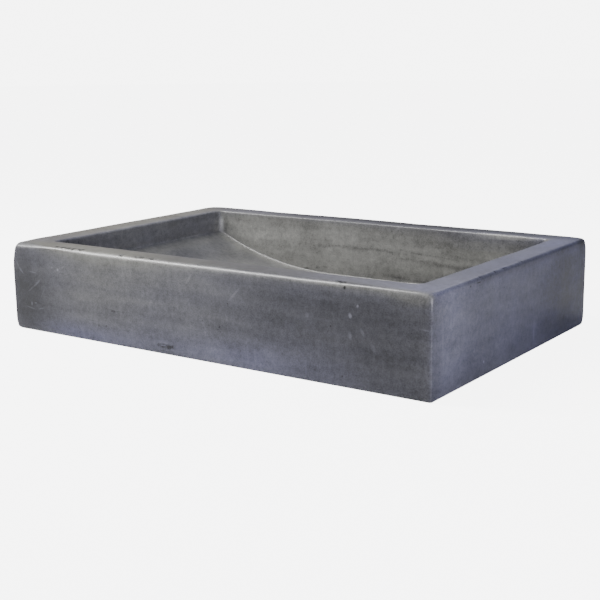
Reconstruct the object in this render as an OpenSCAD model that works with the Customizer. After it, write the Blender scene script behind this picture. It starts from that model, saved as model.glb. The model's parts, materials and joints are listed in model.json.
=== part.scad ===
// Countertop basin: a concrete trough on a flat underside, with a push-to-open waste.
// Millimetres. X runs left to right, Y front to back, Z up. The origin is on the waste's axis,
// in the plane of the underside.

/* [Casting] */
// Overall width, left to right
basin_w = 600; // [520:1:760]
// Overall depth, front to back
basin_d = 400; // [320:1:500]
// Overall height
basin_h = 110; // [98:1:160]
// Width of the rim along the front and along the back
rim_long = 36; // [28:1:50]
// Width of the rim at the left end
rim_left = 42; // [28:1:60]
// Width of the rim at the right end
rim_right = 35; // [28:1:60]
// Rounding of the rim's outer edge
rim_outer_r = 5; // [2:0.5:8]
// Rounding of the rim's inner edge
rim_inner_r = 4; // [1:0.5:8]
// Rounding of the edge round the underside
foot_edge_r = 2; // [0.5:0.5:5]
// Rounding of the four upright outer edges
upright_r = 3; // [1:0.5:8]

/* [Bowl] */
// Thickness of the casting under the flat middle of the floor
floor_t = 33; // [31:0.5:45]
// Length of the flat middle of the floor, left to right
floor_flat = 110; // [90:1:200]
// How far the floor climbs from its flat middle to the left end wall
ramp_rise = 47; // [20:1:55]
// Radius of the bowl's upright inner corners
bowl_corner_r = 9; // [6:0.5:25]
// Lean of the bowl's walls from upright, in degrees
wall_draft = 1.5; // [0.5:0.1:4]

/* [Underside] */
// Diameter of the pocket that the nut sits in
pocket_d = 100; // [84:1:130]
// How far the nut stays above the plane of the underside
nut_cover = 1; // [0.5:0.1:6]
// Bevel of the pocket's mouth
pocket_bevel = 1.5; // [0.5:0.1:3]

/* [Waste body] */
// Diameter of the flange
flange_d = 66; // [62:0.5:80]
// Thickness of the flange
flange_t = 2; // [1.6:0.1:4]
// How far the flange's top lies below the floor
flange_sink = 0.5; // [0.2:0.1:2]
// Diameter over the tail's thread
tail_d = 41.9; // [41:0.1:44]
// Bore of the tail
tail_bore = 36.4; // [34:0.1:38]
// How far the tail reaches below the underside
tail_drop = 55; // [42:1:70]
// How much the neck is larger than the thread, on the radius
neck_step = 1; // [0.6:0.1:2]
// Length of the neck under the flange
neck_h = 8; // [5:0.5:9]
// How much the plug's seat opens, on the radius
seat_flare = 2.6; // [2:0.1:3]
// Height of the plug's seat
seat_h = 6.5; // [5.5:0.1:8]
// Width of the groove that parts the nut's thread from the trap's
groove_w = 2.8; // [1:0.1:4]
// Depth of that groove
groove_deep = 0.8; // [0.3:0.1:1.5]
// How far that groove reaches below the nut
groove_below = 0.7; // [0.2:0.1:1]
// Bevel at the tail's end
tail_bevel = 1; // [0.5:0.1:2]
// Width of the bridge's two arms
bridge_arm_w = 3.5; // [2:0.1:6]
// Height of the bridge
bridge_h = 8; // [5:0.5:12]
// Diameter of the bridge's boss
bridge_boss_d = 18; // [14:0.5:22]

/* [Seals and nut] */
// Thickness of the seal under the flange
flange_seal_t = 1; // [0.6:0.1:3]
// Thickness of the lower gasket's collar
gasket_t = 4; // [2:0.5:6]
// How far the gasket's tapered nose enters the casting
gasket_nose = 3; // [1:0.5:3.5]
// Diameter of the gasket, its washer and the nut's face
gasket_d = 62; // [56:0.5:72]
// Thickness of the friction washer
washer_t = 1.5; // [0.8:0.1:3]
// Width of the back nut across its flats
back_nut_af = 54; // [50:0.5:60]
// Height of the back nut
back_nut_h = 8; // [5:0.5:12]

/* [Plug] */
// Diameter of the cap
cap_d = 62; // [56:0.5:66]
// Thickness of the cap at its edge
cap_edge_t = 1.8; // [1.2:0.1:3]
// How far the cap's middle stands above its edge
cap_dome = 2.4; // [1:0.1:6]
// Travel of the plug, from open to pressed right down
plug_travel = 10; // [6:0.5:12]
// Space between the pressed cap and the flange
cap_gap = 0.8; // [0.4:0.1:2]
// How far the pressed seal's top lies below the flange's top
seal_sink = 1; // [0.5:0.1:2]
// Thickness of the plug's seal
plug_seal_t = 3; // [2:0.1:3.5]
// Thickness of the disc that clamps the seal
retainer_t = 1.5; // [1:0.1:3]
// Diameter of that disc
retainer_d = 31; // [24:0.5:34]
// Diameter of the hub under the cap
hub_d = 32; // [24:0.5:36]
// Diameter of the plunger's stem
stem_d = 8; // [6:0.5:9]
// Width of the lock nut across its flats
lock_nut_af = 13; // [12:0.5:17]
// Height of the lock nut
lock_nut_h = 4; // [3:0.5:6]

/* [Cartridge] */
// Outside diameter of the barrel
barrel_d = 22; // [21:0.5:24]
// Bore of the barrel
barrel_bore = 18; // [17:0.5:19]
// How far the guide bars stand in from the barrel's bore
guide_deep = 1.7; // [1:0.1:2.2]
// Number of guide bars round the barrel
guide_count = 4; // [3:1:5]
// Angle that one guide bar covers, in degrees
guide_angle = 30; // [24:1:36]
// Angle that one rotor rib covers, in degrees
rib_angle = 11; // [6:1:12]
// Slope of the ratchet faces, in degrees
tooth_slope = 30; // [15:1:40]
// How far the plug springs back from full press to its latched place
click_back = 1.2; // [0.6:0.1:2]
// Length of the bush inside the barrel
bush_h = 5; // [3:0.5:8]
// Thickness of the bush's head
bush_head_t = 1.5; // [1:0.1:3]
// Height of the plunger's piston
piston_h = 6; // [4:0.5:9]
// Height of the latch rotor
rotor_h = 6; // [5:0.5:9]
// Height of the wide part of the rotor's body, below its step
rotor_low_h = 4; // [2:0.5:4.5]
// Step in the rotor's outside, on the radius
rotor_step = 1; // [0.5:0.1:1.5]
// Diameter of the pin that centres the rotor
pilot_d = 6; // [4:0.5:7]
// Length of that pin
pilot_h = 4.8; // [2:0.1:8]
// Length of the space for the spring when the plug is up
spring_space = 24; // [21:0.5:32]
// Diameter of the spring's wire
wire_d = 1; // [0.7:0.1:1.3]
// Mean diameter of the spring
spring_d = 12; // [10.5:0.5:13]
// Height of the pins that centre the spring's ends
spring_pin_h = 3; // [1:0.5:4]
// Space between the spring and those pins
spring_play = 0.3; // [0.2:0.05:0.6]
// Height of the plunger's guide lugs
lug_h = 4.2; // [2:0.1:5]
// Number of open turns of the spring
spring_turns = 6; // [4:1:8]
// Thickness of the barrel's floor
barrel_floor_t = 3; // [2:0.5:5]
// Diameter of the screw that holds the barrel
spigot_d = 10; // [8:0.5:12]

/* [Clearances] */
// Space round the neck in the casting's hole
hole_play = 1; // [0.5:0.1:4]
// Space round the flange in its recess
recess_play = 1.5; // [0.5:0.1:3]
// How far the flange's seal stays inside the flange's edge
seal_inset = 2; // [1:0.5:5]
// Space in a screw thread or a loose fit, on the radius
thread_play = 0.05; // [0.02:0.01:0.1]
// Space at a running fit, on the radius
run_play = 0.08; // [0.03:0.01:0.1]
// Space between the pressed seal and its seat
seal_play = 0.3; // [0.2:0.05:0.5]
// Space between two moving faces that all but touch
face_play = 0.15; // [0.05:0.05:0.3]
// Space between the pressed lock nut and the bush
press_play = 1; // [0.5:0.1:3]

/* [Hidden] */
$fn = 96;
// A cut runs this far past the face that it opens
over = 1;
// Sides of the ramp's circle, which is large
ramp_fn = 720;
// How far a rib or lug is rooted in the body that carries it
rib_root = 2;

// Places of the bowl's walls at the rim
wall_l = -basin_w/2 + rim_left;
wall_r = basin_w/2 - rim_right;
wall_b = basin_d/2 - rim_long;
// Height at which the walls' lean starts
lip_z = basin_h - rim_inner_r;
// How far a wall comes in between the lip and the floor
lean = (lip_z - floor_t) * tan(wall_draft);
// The ramp's arc is level where it leaves the flat, and meets the left wall at its full rise
ramp_run = -wall_l - lean * (1 - ramp_rise/(lip_z - floor_t)) - floor_flat/2;
ramp_r = (ramp_run*ramp_run + ramp_rise*ramp_rise) / (2*ramp_rise);

// Heights of the waste
flange_top = floor_t - flange_sink;
flange_under = flange_top - flange_t;
recess_z = flange_under - flange_seal_t;
pocket_z = gasket_t + washer_t + back_nut_h + nut_cover;
flange_r = flange_d/2;
tail_r = tail_d/2;
bore_r = tail_bore/2;
neck_r = tail_r + neck_step;
hole_r = neck_r + hole_play;

// Heights of the plug, open
cap_z = flange_top + cap_gap + plug_travel;
hub_z = cap_z - cap_gap - seal_sink;
retainer_z = hub_z - plug_seal_t - retainer_t;
lock_nut_z = retainer_z - lock_nut_h;
cap_top = cap_z + cap_edge_t + cap_dome;
stem_top = cap_z + cap_edge_t;
stem_r = stem_d/2;

// Heights of the cartridge
bush_top = lock_nut_z - plug_travel - press_play;
barrel_top = bush_top - bush_head_t;
piston_top = barrel_top - bush_h - face_play;
piston_z = piston_top - piston_h;
rotor_top = piston_z - face_play;
rotor_z = rotor_top - rotor_h;
barrel_floor_z = rotor_z - spring_space;
bridge_top = barrel_floor_z - barrel_floor_t;
guide_z = rotor_top - plug_travel + click_back;
barrel_r = barrel_d/2;
barrel_bore_r = barrel_bore/2;
guide_r = barrel_bore_r - guide_deep;
core_r = guide_r - run_play;
lug_r = barrel_bore_r - run_play;
guide_step = 360/guide_count;
slot_angle = guide_step - guide_angle;
lug_angle = slot_angle - 2*asin(run_play/guide_r);
spring_centre_r = (spring_d - wire_d)/2 - spring_play;

// The spring: its length, the gap between its end turns, its pitches and its turns
spring_len = spring_space - 2*face_play;
spring_end_gap = 0.45;
end_pitch = wire_d + spring_end_gap;
open_pitch = (spring_len - wire_d - 2*end_pitch) / spring_turns;
all_turns = spring_turns + 2;
// Rings of the wire's tube in a turn, its sides, and its rings in all
turn_rings = 12;
tube_sides = 6;
ring_total = all_turns*turn_rings;

// A rectangle from one corner to the other, with rounded corners at its top and bottom
module rounded_profile(w, h, r_top, r_low) {
    half = w/2;
    translate([-half, r_low]) square([w, h - r_low - r_top]);
    translate([-half + r_low, 0]) square([w - 2*r_low, h/2]);
    translate([-half + r_top, h/2]) square([w - 2*r_top, h/2]);
    for (s = [-1, 1]) {
        translate([s*(half - r_low), r_low]) circle(r = r_low);
        translate([s*(half - r_top), h - r_top]) circle(r = r_top);
    }
}

// A flat shape, turned over to its other side when the sign is negative
module facing(sign) {
    if (sign < 0) mirror([1, 0]) children();
    else children();
}

// A flat shape in X and Z, carried along Y between two places
module along_y(y0, y1) {
    translate([0, y1, 0]) rotate([90, 0, 0]) linear_extrude(height = y1 - y0) children();
}

// A flat shape whose X becomes Y, carried along X between two places
module along_x(x0, x1) {
    translate([x0, 0, 0]) rotate([90, 0, 90]) linear_extrude(height = x1 - x0) children();
}

// The outer block: three rounded profiles meet
module outer_block() {
    intersection() {
        along_y(-basin_d/2 - over, basin_d/2 + over)
            rounded_profile(basin_w, basin_h, rim_outer_r, foot_edge_r);
        along_x(-basin_w/2 - over, basin_w/2 + over)
            rounded_profile(basin_d, basin_h, rim_outer_r, foot_edge_r);
        translate([0, -basin_d/2, -over]) linear_extrude(height = basin_h + 2*over)
            rounded_profile(basin_w, basin_d, upright_r, upright_r);
    }
}

// Section of the bowl's corner, from its axis out to a leaning wall and the rim's rounded lip
module wall_profile() {
    low = floor_t - over;
    reach = bowl_corner_r;
    foot = (lip_z - low) * tan(wall_draft);
    polygon([[0, low], [reach - foot, low], [reach, lip_z], [reach, basin_h + over], [0, basin_h + over]]);
    difference() {
        translate([0, lip_z]) square([reach + rim_inner_r, rim_inner_r + over]);
        translate([reach + rim_inner_r, lip_z]) circle(r = rim_inner_r);
    }
}

// The bowl's walls: a middle block, a straight run along each side and a turned one at each corner.
// The straight runs have the corner's own profile, moved out, so that their faces meet exactly
module bowl_walls() {
    r = bowl_corner_r;
    x0 = wall_l + r;
    x1 = wall_r - r;
    y1 = wall_b - r;
    translate([x0, -y1, floor_t - over]) cube([x1 - x0, 2*y1, basin_h + 2*over - floor_t]);
    for (s = [-1, 1]) {
        along_x(x0, x1) facing(s) translate([y1, 0]) wall_profile();
        translate([0, s*y1, 0]) {
            translate([x1, 0, 0]) rotate([0, 0, s > 0 ? 0 : -90])
                rotate_extrude(angle = 90) wall_profile();
            translate([x0, 0, 0]) rotate([0, 0, s > 0 ? 90 : 180])
                rotate_extrude(angle = 90) wall_profile();
        }
    }
    along_y(-y1, y1) translate([x1, 0]) wall_profile();
    along_y(-y1, y1) translate([x0, 0]) facing(-1) wall_profile();
}

// All that lies above the floor: a flat middle with an arc rising to each end
module above_floor() {
    half = floor_flat/2;
    reach = basin_w/2;
    along_y(-wall_b - rim_long/2, wall_b + rim_long/2) {
        translate([-half, floor_t]) square([floor_flat, basin_h + 2*over - floor_t]);
        for (s = [-1, 1]) intersection() {
            translate([s*half, floor_t + ramp_r]) circle(r = ramp_r, $fn = ramp_fn);
            translate([s > 0 ? half : -reach, floor_t - over])
                square([reach - half, basin_h + 3*over - floor_t]);
        }
    }
}

module basin_shell() {
    color("#83858a") difference() {
        outer_block();
        intersection() {
            bowl_walls();
            above_floor();
        }
        translate([0, 0, recess_z]) cylinder(r = flange_r + recess_play, h = floor_t);
        translate([0, 0, -over]) cylinder(r = hole_r, h = floor_t);
        translate([0, 0, -over]) cylinder(r = pocket_d/2, h = pocket_z + over);
        translate([0, 0, -over]) cylinder(r1 = pocket_d/2 + pocket_bevel + over,
            r2 = pocket_d/2, h = pocket_bevel + over);
    }
}

// A flat ring that stands on a height
module ring(r_out, r_in, z, h) {
    rotate_extrude() translate([r_in, z]) square([r_out - r_in, h]);
}

module flange_seal() {
    color("#d8d8d2") ring(flange_r - seal_inset, neck_r + thread_play, recess_z, flange_seal_t);
}

// Radius of the plug's seat at a height
function seat_r(z) = bore_r + seat_flare * max(0, z - flange_top + seat_h) / seat_h;

// Half the turned section of the waste body
module body_profile() {
    groove_z = nut_cover - groove_below;
    polygon([
        [bore_r, -tail_drop],
        [tail_r - tail_bevel, -tail_drop],
        [tail_r, -tail_drop + tail_bevel],
        [tail_r, groove_z],
        [tail_r - groove_deep, groove_z],
        [tail_r - groove_deep, groove_z + groove_w],
        [tail_r, groove_z + groove_w],
        [tail_r, flange_under - neck_h],
        [neck_r, flange_under - neck_h],
        [neck_r, flange_under],
        [flange_r - flange_t/2, flange_under],
        [flange_r - flange_t/2, flange_top],
        [seat_r(flange_top), flange_top],
        [bore_r, flange_top - seat_h]
    ]);
    translate([flange_r - flange_t/2, flange_top - flange_t/2]) circle(r = flange_t/2);
}

module waste_body() {
    arm = tail_bore + (tail_d - tail_bore)/2;
    color("#c9ccd0") difference() {
        union() {
            rotate_extrude() body_profile();
            translate([0, 0, bridge_top - bridge_h]) {
                cylinder(d = bridge_boss_d, h = bridge_h);
                translate([-bridge_arm_w/2, -arm/2, 0]) cube([bridge_arm_w, arm, bridge_h]);
            }
        }
        translate([0, 0, bridge_top - bridge_h - over])
            cylinder(r = spigot_d/2 + thread_play, h = bridge_h + 2*over);
    }
}

module lower_gasket() {
    low = pocket_z - gasket_t;
    inner = tail_r + thread_play;
    color("#26262a") rotate_extrude() polygon([
        [inner, low],
        [gasket_d/2, low],
        [gasket_d/2, pocket_z],
        [hole_r - thread_play, pocket_z],
        [neck_r, pocket_z + gasket_nose],
        [inner, pocket_z + gasket_nose]
    ]);
}

module friction_washer() {
    color("#e9e6da") ring(gasket_d/2, tail_r + thread_play, nut_cover + back_nut_h, washer_t);
}

// A hexagon nut whose corners are turned back at both ends
module hex_nut(af, h, bore) {
    corner_r = af/2 / cos(30);
    cut = corner_r - af/2;
    bevel = min(cut*tan(30), h/3);
    // The turned shape runs a little past the corners
    past = 1.25;
    difference() {
        intersection() {
            cylinder(r = corner_r, h = h, $fn = 6);
            rotate_extrude() polygon([[0, 0], [af/2, 0], [af/2 + past*cut, past*bevel],
                [af/2 + past*cut, h - past*bevel], [af/2, h], [0, h]]);
        }
        translate([0, 0, -over]) cylinder(r = bore, h = h + 2*over);
    }
}

module back_nut() {
    color("#c8a24a") translate([0, 0, nut_cover])
        hex_nut(back_nut_af, back_nut_h, tail_r + thread_play);
}

// A sector of a ring, centred on +X, that stands on z = 0
module ring_sector(r_out, r_in, angle, h) {
    reach = 2*r_out;
    intersection() {
        difference() {
            cylinder(r = r_out, h = h);
            translate([0, 0, -over]) cylinder(r = r_in, h = h + 2*over);
        }
        translate([0, 0, -over]) linear_extrude(height = h + 2*over)
            polygon([[0, 0], [reach*cos(angle/2), -reach*sin(angle/2)],
                [reach*cos(angle/2), reach*sin(angle/2)]]);
    }
}

// One guide bar, with the sloping lower face that the rotor's ribs catch on
module guide_bar() {
    h = barrel_top - bush_h - guide_z;
    half_w = barrel_bore_r * sin(guide_angle/2);
    difference() {
        translate([0, 0, guide_z]) ring_sector(barrel_bore_r + run_play, guide_r, guide_angle, h);
        translate([0, -half_w, guide_z]) rotate([tooth_slope, 0, 0])
            translate([0, -barrel_d, -barrel_d]) cube([barrel_d, 3*barrel_d, barrel_d]);
    }
}

module cartridge_barrel() {
    color("#b8b4a6") {
        difference() {
            union() {
                translate([0, 0, bridge_top]) cylinder(r = barrel_r, h = barrel_top - bridge_top);
                translate([0, 0, bridge_top - bridge_h]) cylinder(d = spigot_d, h = bridge_h + over);
            }
            translate([0, 0, barrel_floor_z]) difference() {
                cylinder(r = barrel_bore_r, h = barrel_top - barrel_floor_z + over);
                translate([0, 0, -over]) cylinder(r = spring_centre_r, h = spring_pin_h + over);
            }
        }
        for (k = [0:guide_count - 1]) rotate([0, 0, (k + 0.5)*guide_step]) guide_bar();
    }
}

module barrel_bush() {
    color("#dedbcf") difference() {
        union() {
            translate([0, 0, barrel_top]) cylinder(r = barrel_r, h = bush_head_t);
            translate([0, 0, barrel_top - bush_h])
                cylinder(r = barrel_bore_r - thread_play, h = bush_h + bush_head_t/2);
        }
        translate([0, 0, barrel_top - bush_h - over])
            cylinder(r = stem_r + run_play, h = bush_h + bush_head_t + 2*over);
    }
}

// The spring's centre line: a closed turn at each end and open turns between
function spring_z(t) = t < 1 ? t*end_pitch
    : t < all_turns - 1 ? end_pitch + (t - 1)*open_pitch
    : end_pitch + spring_turns*open_pitch + (t - all_turns + 1)*end_pitch;
// The tube's rings stand square to the turn, with flat tops and bottoms
function tube_point(i, j) = let (
    turn = 360*i/turn_rings,
    side = 360*(j + 0.5)/tube_sides,
    r = spring_d/2 + wire_d/2*cos(side)
) [r*cos(turn), r*sin(turn), spring_z(i/turn_rings) + wire_d/2*sin(side)];
spring_points = [for (i = [0:ring_total], j = [0:tube_sides - 1]) tube_point(i, j)];
function quad_faces(a, b, c, d) = [[a, b, c], [a, c, d]];
spring_sides = [for (i = [0:ring_total - 1], j = [0:tube_sides - 1])
    let (n = tube_sides, k = (j + 1) % n)
    each quad_faces(i*n + j, i*n + k, (i + 1)*n + k, (i + 1)*n + j)];
spring_ends = [for (j = [1:tube_sides - 2]) each [[0, j + 1, j],
    [ring_total*tube_sides, ring_total*tube_sides + j, ring_total*tube_sides + j + 1]]];

// Least distance between two rings' middles that are over half a turn apart, less the wire
function middle(i) = [spring_d/2*cos(360*i/turn_rings), spring_d/2*sin(360*i/turn_rings),
    spring_z(i/turn_rings)];
spring_gap = min([for (i = [0:ring_total], k = [i + turn_rings/2:1:ring_total])
    norm(middle(i) - middle(k))]) - wire_d;
echo(spring_least_gap = spring_gap);

module return_spring() {
    color("#a9abad") translate([0, 0, barrel_floor_z + face_play + wire_d/2])
        polyhedron(points = spring_points, faces = concat(spring_sides, spring_ends));
}

// One rotor rib, with the sloping top that rides under the guide bars
module rotor_rib() {
    half_w = lug_r * sin(rib_angle/2);
    rise = 2*half_w*tan(tooth_slope);
    difference() {
        translate([0, 0, rotor_z]) ring_sector(lug_r, core_r - rib_root, rib_angle, rotor_h);
        translate([0, -half_w, rotor_top - rise]) rotate([tooth_slope, 0, 0])
            translate([0, -barrel_d, 0]) cube([barrel_d, 3*barrel_d, barrel_d]);
    }
}

module latch_rotor() {
    color("#e4dfce") {
        difference() {
            union() {
                translate([0, 0, rotor_z]) cylinder(r = core_r, h = rotor_low_h);
                translate([0, 0, rotor_z]) cylinder(r = core_r - rotor_step, h = rotor_h);
                translate([0, 0, rotor_z - spring_pin_h]) cylinder(r = spring_centre_r, h = rotor_h);
            }
            translate([0, 0, rotor_z - spring_pin_h - over])
                cylinder(r = pilot_d/2 + run_play, h = rotor_h + spring_pin_h + 2*over);
        }
        for (k = [0:guide_count - 1]) rotate([0, 0, k*guide_step]) rotor_rib();
    }
}

module plunger() {
    color("#b9bcc0") {
        translate([0, 0, piston_z]) cylinder(r = core_r, h = piston_h);
        translate([0, 0, piston_z]) cylinder(r = stem_r, h = stem_top - piston_z);
        translate([0, 0, piston_z - pilot_h]) cylinder(d = pilot_d, h = pilot_h + over);
        for (k = [0:guide_count - 1]) rotate([0, 0, k*guide_step])
            translate([0, 0, piston_top - lug_h]) ring_sector(lug_r, core_r - rib_root, lug_angle, lug_h);
    }
}

module seal_retainer() {
    color("#c9ccd0") ring(retainer_d/2, stem_r + thread_play, retainer_z, retainer_t);
}

// The seal's cone lies along the seat when the plug is pressed
module plug_seal() {
    low = hub_z - plug_seal_t;
    gap = seal_play / cos(atan(seat_flare/seat_h));
    color("#2b2b2e") rotate_extrude() polygon([
        [stem_r + thread_play, low],
        [seat_r(low - plug_travel) - gap, low],
        [seat_r(hub_z - plug_travel) - gap, hub_z],
        [stem_r + thread_play, hub_z]
    ]);
}

module plug_lock_nut() {
    color("#c8a24a") translate([0, 0, lock_nut_z]) hex_nut(lock_nut_af, lock_nut_h, stem_r + thread_play);
}

module plug_cap() {
    r = cap_d/2;
    edge_r = cap_edge_t/2;
    dome_run = r - edge_r;
    dome_r = (dome_run*dome_run + cap_dome*cap_dome) / (2*cap_dome);
    edge_z = cap_z + cap_edge_t;
    color("#d3d6d9") difference() {
        rotate_extrude() {
            translate([0, cap_z]) square([dome_run, cap_edge_t]);
            translate([dome_run, cap_z + edge_r]) circle(r = edge_r);
            translate([0, hub_z]) square([hub_d/2, cap_z - hub_z + edge_r]);
            intersection() {
                translate([0, cap_top - dome_r]) circle(r = dome_r, $fn = ramp_fn);
                translate([0, edge_z - edge_r]) square([dome_run, cap_dome + edge_r + over]);
            }
        }
        translate([0, 0, hub_z - over])
            cylinder(r = stem_r + thread_play, h = stem_top - hub_z + over + face_play);
    }
}

basin_shell();
flange_seal();
waste_body();
lower_gasket();
friction_washer();
back_nut();
cartridge_barrel();
barrel_bush();
return_spring();
latch_rotor();
plunger();
seal_retainer();
plug_seal();
plug_lock_nut();
plug_cap();
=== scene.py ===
"""Looks of a concrete countertop basin with a push-to-open waste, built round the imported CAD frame.

Metres, +X to the right along the long side, +Y to the back, +Z up. The origin is on the waste's
axis, in the plane of the underside.
"""

import json
import math

import bpy
import numpy as np
from mathutils import Matrix, Vector


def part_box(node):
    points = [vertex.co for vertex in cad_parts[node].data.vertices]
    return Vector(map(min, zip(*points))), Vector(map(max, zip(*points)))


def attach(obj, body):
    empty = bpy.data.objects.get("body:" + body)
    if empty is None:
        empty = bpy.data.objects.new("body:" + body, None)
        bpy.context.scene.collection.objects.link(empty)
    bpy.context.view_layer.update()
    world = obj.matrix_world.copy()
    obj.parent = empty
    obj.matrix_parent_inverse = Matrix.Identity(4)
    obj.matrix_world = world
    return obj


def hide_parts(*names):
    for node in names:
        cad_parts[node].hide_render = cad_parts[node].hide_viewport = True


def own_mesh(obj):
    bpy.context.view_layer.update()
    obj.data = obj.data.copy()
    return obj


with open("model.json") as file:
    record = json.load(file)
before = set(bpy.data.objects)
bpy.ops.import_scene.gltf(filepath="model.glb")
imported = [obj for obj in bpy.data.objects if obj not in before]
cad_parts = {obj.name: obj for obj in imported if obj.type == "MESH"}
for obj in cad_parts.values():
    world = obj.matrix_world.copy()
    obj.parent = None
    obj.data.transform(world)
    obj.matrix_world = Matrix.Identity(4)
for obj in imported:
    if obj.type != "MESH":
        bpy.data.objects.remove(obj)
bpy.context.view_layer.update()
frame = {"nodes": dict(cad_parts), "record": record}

MM = 0.001
TURN = 2 * math.pi

# The casting, from its CAD box
shell_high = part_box("basin_shell")[1]
HALF = np.array([shell_high.x, shell_high.y])
TOP = shell_high.z
# Widths of the rim at the front and back, at the left and at the right
RIM_LONG = 36 * MM
RIM_LEFT = 42 * MM
RIM_RIGHT = 35 * MM
# Roundings: the rim's outer edge, worn wider along the front and at the front left corner, its inner
# edge, sharper at the back, the foot, and the crease round the floor
RIM_OUTER_R = 5 * MM
RIM_WORN_R = 7.4 * MM
RIM_CORNER_R = 9.2 * MM
RIM_INNER_R = 4 * MM
RIM_SHARP_R = 2.6 * MM
FOOT_R = 2 * MM
CREASE_R = 2.2 * MM
# Roundings of the upright edges: along their length, hand-eased at the rim, most at the front left
# corner, and at the foot
UPRIGHT_R = 3 * MM
UPRIGHT_TOP_R = 6.5 * MM
UPRIGHT_CORNER_R = 9.5 * MM
UPRIGHT_FOOT_R = 3.8 * MM
# Lengths over which that easing fades: at the rim, at the front left corner, at the foot
EASE_TOP = 14 * MM
EASE_CORNER = 30 * MM
EASE_FOOT = 6 * MM
# The bowl's corners, and the tighter one at the front left
BOWL_CORNER_R = 9 * MM
BOWL_TIGHT_R = 3 * MM
# Hand-eased corners of the block: how deep and how far round the rim's and the foot's are taken back
EASED_TOP = 0.8 * MM
EASED_FOOT = 1 * MM
EASED_TOP_REACH = 11 * MM
EASED_FOOT_REACH = 6 * MM
# The floor: its height in the flat middle, the flat's length, the rise to the left wall
FLOOR_T = 33 * MM
FLOOR_FLAT = 110 * MM
RAMP_RISE = 47 * MM
WALL_LEAN = math.tan(math.radians(1.5))
LIP_Z = TOP - RIM_INNER_R
# The hole for the waste: radius, recess for the flange, pocket underneath
HOLE_R = 22.95 * MM
RECESS_R = 34.5 * MM
RECESS_Z = 29.5 * MM
RECESS_ARRIS = 0.6 * MM
POCKET_R = 50 * MM
POCKET_Z = 14.5 * MM
POCKET_BEVEL = 1.5 * MM

# The bowl at the rim: its middle and its half sizes
BOWL_MIDDLE = np.array([(RIM_LEFT - RIM_RIGHT) / 2, 0])
BOWL_HALF = HALF - np.array([(RIM_LEFT + RIM_RIGHT) / 2, RIM_LONG])
# The ramp's arc leaves the flat level and meets the left wall at its full rise
WALL_L = BOWL_MIDDLE[0] - BOWL_HALF[0]
RAMP_RUN = -WALL_L - WALL_LEAN * (LIP_Z - FLOOR_T - RAMP_RISE) - FLOOR_FLAT / 2
RAMP_R = (RAMP_RUN**2 + RAMP_RISE**2) / (2 * RAMP_RISE)

# The casting's grid: columns along the front, the right, the back and the left, and at each corner
SIDE_COLUMNS = (380, 130, 210, 110)
CORNER_COLUMNS = 12
# Its rows over each stretch, and the steps round its edges
FLOOR_ROWS, WALL_ROWS, RIM_ROWS, SIDE_ROWS = 32, 11, 10, 16
LIP_STEPS, EDGE_STEPS, FOOT_STEPS = 6, 9, 4

# Swelling of the casting's faces: depth, wavelength and seed of each, and the level that it hangs from
SWELLING = ((0.18 * MM, 190 * MM, 1), (0.08 * MM, 46 * MM, 2))
SWELL_LEVEL = 0.24 * MM
# Waves in one swelling, and the sum of their sines that counts as 1
SWELL_WAVES = 12
SWELL_SUM = 3.5
# The worn stretch of the front edge: where it starts and ends, and the lengths over which it fades
WORN_START, WORN_START_FADE = -230 * MM, 60 * MM
WORN_END, WORN_END_FADE = 240 * MM, 80 * MM
# How far from the pocket, the recess and the underside the faces stay exact
EXACT_BY_POCKET = 5 * MM
EXACT_BY_RECESS = 8 * MM
EXACT_BY_FACE = 1 * MM
# Bends of the casting, of turned pieces, of the spring and of nuts that stay sharp, in degrees
CASTING_SHARP, TURNED_SHARP, SPRING_SHARP, NUT_SHARP = 40, 34, 50, 20

# The camera: the place it stands, its turn to the left, tilt down and roll, its lens and its sensor
CAMERA_AT = (0.8014, -1.1289, 0.3331)
CAMERA_TURN, CAMERA_TILT, CAMERA_ROLL = (math.radians(a) for a in (35.269, 12.244, -0.721))
CAMERA_LENS_MM, CAMERA_SENSOR_MM = 67.225, 36
# The studio's light, and how bright its floor and walls show to the camera, which lights nothing
STUDIO_LIGHT = 0.3
FLOOR_GLOW = 6
WALL_GLOW = 6.4
# The light's colour on the left and on the right, and the shares of a direction to the right between
# which the one turns into the other
WARM_LIGHT = (1.08, 1.01, 0.9, 1)
COOL_LIGHT = (0.88, 0.93, 1.18, 1)
LIGHT_TURNS = (-0.75, -0.2)


# Shapes

def add_object(name, data):
    """An object in the scene, at the origin."""
    obj = bpy.data.objects.new(name, data)
    bpy.context.scene.collection.objects.link(obj)
    return obj


def add_mesh(name, points, faces, sharp_angle):
    """A smooth mesh object from an array of points and a list of faces. Edges that bend by
    more than the angle, in degrees, stay sharp."""
    mesh = bpy.data.meshes.new(name)
    mesh.from_pydata(points.tolist(), [], faces)
    mesh.validate()
    mesh.update()
    mesh.shade_smooth()
    mesh.set_sharp_from_angle(angle=math.radians(sharp_angle))
    return add_object(name, mesh)


def grid_faces(rows, cols, close_rows):
    """Quads of a grid whose columns close into rings, and whose rows do too if asked."""
    r = np.arange(rows if close_rows else rows - 1)[:, None]
    c = np.arange(cols)
    r1, c1 = (r + 1) % rows, (c + 1) % cols
    quads = np.stack([r * cols + c, r1 * cols + c, r1 * cols + c1, r * cols + c1], -1)
    return quads.reshape(-1, 4).tolist()


def end_faces(rows, cols):
    """The two flat ends of a tube, each one polygon."""
    ring = np.arange(cols)
    return [ring.tolist(), (ring[::-1] + (rows - 1) * cols).tolist()]


def add_grid(name, rings, closed, sharp_angle):
    """A mesh object from a grid of rings, which closes into a loop or has a flat face over each end."""
    size = rings.shape[:2]
    faces = grid_faces(*size, closed) + ([] if closed else end_faces(*size))
    return add_mesh(name, rings.reshape(-1, 3), faces, sharp_angle)


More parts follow.
